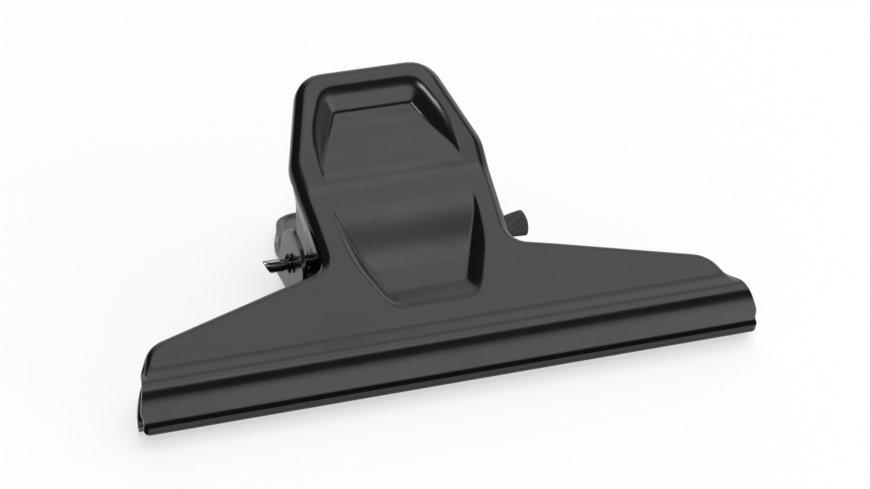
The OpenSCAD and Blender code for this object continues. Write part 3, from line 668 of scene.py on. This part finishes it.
def makePin(settings):
    # a wire along X as a loft of rings: a slanted left end, a round shaft with two wings staked out beside the ear,
    # and a right end squashed flat, whose rings go from round to slab by a growing power of the circle's sine
    count = settings["sides"]
    a = np.arange(count) * 2 * math.pi / count
    r = settings["r"]
    turnBy = math.radians(settings["stakeA"])
    rings = []

    def addRing(x, wide, thick, turn):
        # wide and thick lie along the turned axes; the ring is kept in the clip's frame
        rings.append(np.stack([x + 0 * a, wide * math.cos(turn) - thick * math.sin(turn) + hinge["pinY"],
                               wide * math.sin(turn) + thick * math.cos(turn)], axis=-1))

    # the slanted cut leans so that the top reaches furthest to the left
    slant = math.tan(math.radians(settings["cutA"]))
    endWide = settings["endWide"] * np.sign(np.cos(a)) * np.abs(np.cos(a)) ** settings["endPower"]
    endDeep = settings["endDeep"] * np.sign(np.sin(a)) * np.abs(np.sin(a)) ** settings["endPower"]

    def cutX(share, inset):
        out = share * (endWide * math.sin(turnBy) + endDeep * math.cos(turnBy))
        return settings["cutTop"] + (r - out) * slant + inset

    edge = settings["edge"]
    for share, inset in ((0.001, 0), (0.5, 0), (1 - edge / r, 0), (1 - 0.3 * edge / r, 0.3 * edge), (1, edge)):
        addRing(cutX(share, inset), share * endWide, share * endDeep, turnBy)
    start = cutX(1, edge)
    for share in (0.4, 0.8):
        addRing(start + (settings["stations"][0] - start) * share, endWide, endDeep, turnBy)
    for x, wing in zip(settings["stations"], settings["wings"]):
        reach = r + wing * np.abs(np.cos(a)) ** settings["wingPower"]
        addRing(x, reach * np.cos(a), reach * np.sin(a), turnBy)

    # the squashed end: its rings run from the round shaft to the bulged end edge
    tailX = np.array(settings["tailX"])
    turns = np.radians(np.interp(tailX, settings["turnX"], [settings["stakeA"], settings["tailA"]]))
    powers = np.interp(tailX, settings["slabX"], settings["slabPower"])
    for x, up, low, thick, turn, power in zip(
            tailX, settings["tailUp"], settings["tailDown"], settings["tailThick"], turns, powers):
        wide = (up - low) / 2 + (up + low) / 2 * np.sign(np.cos(a)) * np.abs(np.cos(a)) ** power
        deep = thick * np.sign(np.sin(a)) * np.abs(np.sin(a)) ** power
        part = np.clip((x - settings["bulgeFrom"]) / (tailX[-1] - settings["bulgeFrom"]), 0, 1)
        drawnBack = part ** 2 * ((wide - settings["bulgeMiddle"]) / settings["bulgeHalf"]) ** 2
        addRing(x - settings["tailBulge"] * drawnBack, wide, deep, turn)
    last = rings[-1]
    middle = last.mean(axis=0)
    rings.append(last + (middle - last) * [0, 0.5, 0.5])
    rings.append(middle + 0 * last)
    points = np.concatenate(rings)
    row = layDown(points[:, 0], points[:, 1], points[:, 2])
    return makePiece("pivotPin", row, gridFaces(len(rings), count, True), blackWire)


pivotPin = makePin(pin)
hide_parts("pivot_pin")
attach(pivotPin, "rear")
print("pin made:", len(pivotPin.data.polygons))

spring = {
    "wire": 1.5, "r": 2.55, "outerX": 16.85, "coilLength": 12.4117, "sweep": 2280.8, "legA": 30.4172, "loopA": 28.78,
    "legEnd": 16.25, "legRun": 21.21, "loopRun": 18.51, "loopCorner": 1.8, "sides": 20,
    "endX": [0.0, 0.04, 0.12, 0.24], "endShare": [0.8, 0.9, 0.97, 1.0], "tiny": 0.001, "legsAtX": 16.1, "loopAtX": 4.6,
}


def springLine(settings):
    # the left half of the wire's middle line: straight leg, helix round the pin, straight arm and a rounded corner;
    # points lie in the clip's frame with the pin as zero
    r, legA, loopA = settings["r"], math.radians(settings["legA"]), math.radians(settings["loopA"])
    first = -math.pi / 2 - legA
    foot = np.array([-settings["outerX"], r * math.cos(first), r * math.sin(first)])
    run = settings["legRun"]
    tip = foot + [settings["outerX"] - settings["legEnd"], run * math.cos(legA), -run * math.sin(legA)]
    leg = tip + np.linspace(0, 1, 24)[:, None] * (foot - tip)
    share = np.linspace(0, 1, 260)[:, None]
    angle = first - math.radians(settings["sweep"]) * share
    alongX = -settings["outerX"] + settings["coilLength"] * share
    helix = np.concatenate([alongX, r * np.cos(angle), r * np.sin(angle)], axis=1)
    way = np.array([0, math.cos(loopA), math.sin(loopA)])
    bight = helix[-1] + way * settings["loopRun"]
    c = settings["loopCorner"]
    arm = helix[-1] + way * (settings["loopRun"] - c) * np.linspace(0, 1, 22)[1:, None]
    turn = np.linspace(0, math.pi / 2, 12)[1:, None]
    corner = bight - way * c * (1 - np.sin(turn)) + [c, 0, 0] * (1 - np.cos(turn))
    bar = corner[-1] * [0, 1, 1] + [1, 0, 0] * np.linspace(corner[-1][0], 0, 6)[1:, None]
    return np.concatenate([leg[:-1], helix, arm, corner, bar])


def tubePoints(line, radius, sides, level):
    # rings of a wire along a line: the line plus radius (side cos a + over sin a), where over is square to the wire and
    # to the level axis, and side is square to both
    way = np.gradient(line, axis=0)
    way /= np.linalg.norm(way, axis=1, keepdims=True)
    over = np.cross(way, level)
    over /= np.linalg.norm(over, axis=1, keepdims=True)
    side = np.cross(over, way)
    a = (np.arange(sides) * 2 * math.pi / sides)[None, :, None]
    radius = np.broadcast_to(radius, len(line))[:, None, None]
    return line[:, None] + radius * (side[:, None] * np.cos(a) + over[:, None] * np.sin(a))


def makeSpringHalf(name, settings, side):
    # one half of the double spring as a wire with rounded ends, mirrored by the side's sign. Its legs lie on the rear
    # jaw and its loop on the front jaw.
    line = springLine(settings)
    r = settings["wire"] / 2
    way = (line[1] - line[0]) / np.linalg.norm(line[1] - line[0])
    start = line[0] + way * np.array(settings["endX"])[:, None]
    line = np.concatenate([start[:1], start, line[1:], line[-1:]])
    radius = np.full(len(line), r)
    radius[1:5] = r * np.array(settings["endShare"])
    radius[[0, -1]] = settings["tiny"]
    line[[0, -1], 0] += settings["tiny"] / 100
    loopA = math.radians(settings["loopA"])
    level = np.array([1, -settings["tiny"] * math.cos(loopA), -settings["tiny"] * math.sin(loopA)])
    points = tubePoints(line, radius, settings["sides"], level).reshape(-1, 3)
    points[:, 0] *= -side
    faces = gridFaces(len(line), settings["sides"], True)
    faces = faces if side > 0 else faces[:, ::-1]
    row = layDown(points[:, 0], points[:, 1] + hinge["pinY"], points[:, 2])
    piece = makePiece(name, row, faces, springSteel)
    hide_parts("torsion_spring")
    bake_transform(piece)
    return piece


for name, side in (("springRight", 1), ("springLeft", -1)):
    half = makeSpringHalf(name, spring, side)
    print("spring half made:", len(half.data.polygons))

# a panel is its strength and its limits, each an axis with the two angles between which it fades in. In this order:
# overhead, its right front, behind at the right, low at the right, low in front, and the small key light
studio = {
    "floor": "#fafafa", "floorSize": 3000.0, "floorRough": 0.6, "floorCells": 5, "burn": 0.6, "walls": 0.05,
    "white": "#ffffff",
    "panels": [
        [2.12, [[(0.147, 0.053, 0.988), 65, 71]]],
        [0.8, [[(0.147, 0.053, 0.988), 65, 71], [(0, -1, 0), -5, 9], [(1, 0, 0), 4, 12]]],
        [1.15, [[(0.453, 0.655, 0.604), 44, 58], [(0, 0, 1), -2, 8], [(0, 0, 1), 66, 58]]],
        [0.7, [[(1, -0.1, 0), 20, 50], [(0, 0, 1), -2, 10], [(0, 0, 1), 42, 34]]],
        [2.7, [[(0.2, -1, 0), 25, 50], [(0, 0, 1), -12, 0], [(0, 0, 1), 25, 17]]],
        [14.0, [[(-0.289, -0.544, 0.788), 80, 83]]]],
}


def makeFloor(settings):
    # matt white board, shown nearly burnt out to the camera and in reflections, with a soft shadow left on it
    material, tree = startMaterial("mattWhiteBoard")
    board = addNode(tree, "ShaderNodeBsdfPrincipled", None, {
        "Base Color": srgb(settings["floor"]), "Roughness": settings["floorRough"], "IOR": 1.45})
    burnt = addNode(tree, "ShaderNodeEmission", None, {"Color": srgb(settings["white"]), "Strength": 1.0})
    rays = addNode(tree, "ShaderNodeLightPath")
    seen = addNode(tree, "ShaderNodeMath", {"operation": "MAXIMUM"}, {
        0: (rays, "Is Camera Ray"), 1: (rays, "Is Glossy Ray")})
    shown = addNode(tree, "ShaderNodeMath", {"operation": "MAXIMUM"}, {
        0: (seen, 0), 1: (rays, "Is Transmission Ray")})
    share = addProduct(tree, (shown, 0), settings["burn"])
    shader = addNode(tree, "ShaderNodeMixShader", None, {0: (share, 0), 1: (board, 0), 2: (burnt, 0)})
    finishMaterial(tree, shader)
    cells, size = settings["floorCells"], settings["floorSize"]
    x, y = np.meshgrid(np.linspace(-size, size, cells), np.linspace(-size, size, cells))
    points = np.stack([x, y, np.zeros_like(x)], axis=-1).reshape(-1, 3) * mm
    makePiece("studioFloor", points, gridFaces(cells, cells), material)


makeFloor(studio)


def makeRoom(settings):
    # the studio as the clip sees it: a dark room with soft white panels. A panel's light in a direction is its strength
    # times the smooth steps of the direction's part along each axis, from the first to the second angle's sine.
    world = bpy.data.worlds.new("studioRoom")
    bpy.context.scene.world = world
    world.use_nodes = True
    tree = world.node_tree
    tree.nodes.clear()
    ways = addNode(tree, "ShaderNodeTexCoord")
    total = addNode(tree, "ShaderNodeBackground", None, {
        "Color": srgb(settings["white"]), "Strength": settings["walls"]})
    for strength, limits in settings["panels"]:
        level = None
        for axis, start, end in limits:
            along = addNode(tree, "ShaderNodeVectorMath", {"operation": "DOT_PRODUCT"}, {
                0: (ways, "Generated"), 1: Vector(axis).normalized()})
            step = addNode(tree, "ShaderNodeMapRange", {"interpolation_type": "SMOOTHSTEP"}, {
                "Value": (along, "Value"), "From Min": math.sin(math.radians(start)),
                "From Max": math.sin(math.radians(end))})
            level = step if level is None else addProduct(tree, (level, 0), (step, 0))
        power = addProduct(tree, (level, 0), strength)
        panel = addNode(tree, "ShaderNodeBackground", None, {
            "Color": srgb(settings["white"]), "Strength": (power, 0)})
        total = addNode(tree, "ShaderNodeAddShader", None, {0: (total, 0), 1: (panel, 0)})
    output = addNode(tree, "ShaderNodeOutputWorld")
    tree.links.new(total.outputs[0], output.inputs["Surface"])


makeRoom(studio)

view = {
    "azimuth": -22.543, "elevation": 31.685, "roll": 3.2786, "focalPx": 3425.2, "distance": 669.5,
    "target": (6.998, -0.98, 12.0), "imageWidth": 870, "sensor": 36.0, "clipM": (0.01, 20.0),
}


def makeCamera(settings):
    # the camera looks at the target from an azimuth and elevation, turned a little about its own axis. Its lens is
    # the fitted focal length in pixels / the image's width x the sensor's width.
    az, el, roll = (math.radians(settings[k]) for k in ("azimuth", "elevation", "roll"))
    away = Vector((math.sin(az) * math.cos(el), -math.cos(az) * math.cos(el), math.sin(el)))
    right = Vector((math.cos(az), math.sin(az), 0))
    up = away.cross(right)
    rightRolled = right * math.cos(roll) + up * math.sin(roll)
    upRolled = up * math.cos(roll) - right * math.sin(roll)
    lens = bpy.data.cameras.new("camera")
    camera = bpy.data.objects.new("camera", lens)
    bpy.context.scene.collection.objects.link(camera)
    camera.matrix_world = Matrix((
        (rightRolled.x, upRolled.x, away.x, 0), (rightRolled.y, upRolled.y, away.y, 0),
        (rightRolled.z, upRolled.z, away.z, 0), (0, 0, 0, 1)))
    camera.location = (Vector(settings["target"]) + away * settings["distance"]) * mm
    lens.sensor_width = settings["sensor"]
    lens.lens = settings["focalPx"] / settings["imageWidth"] * settings["sensor"]
    lens.clip_start, lens.clip_end = settings["clipM"]
    bpy.context.scene.camera = camera


makeCamera(view)
bpy.context.scene.view_settings.view_transform = "Standard"
print("floor, light and camera made")
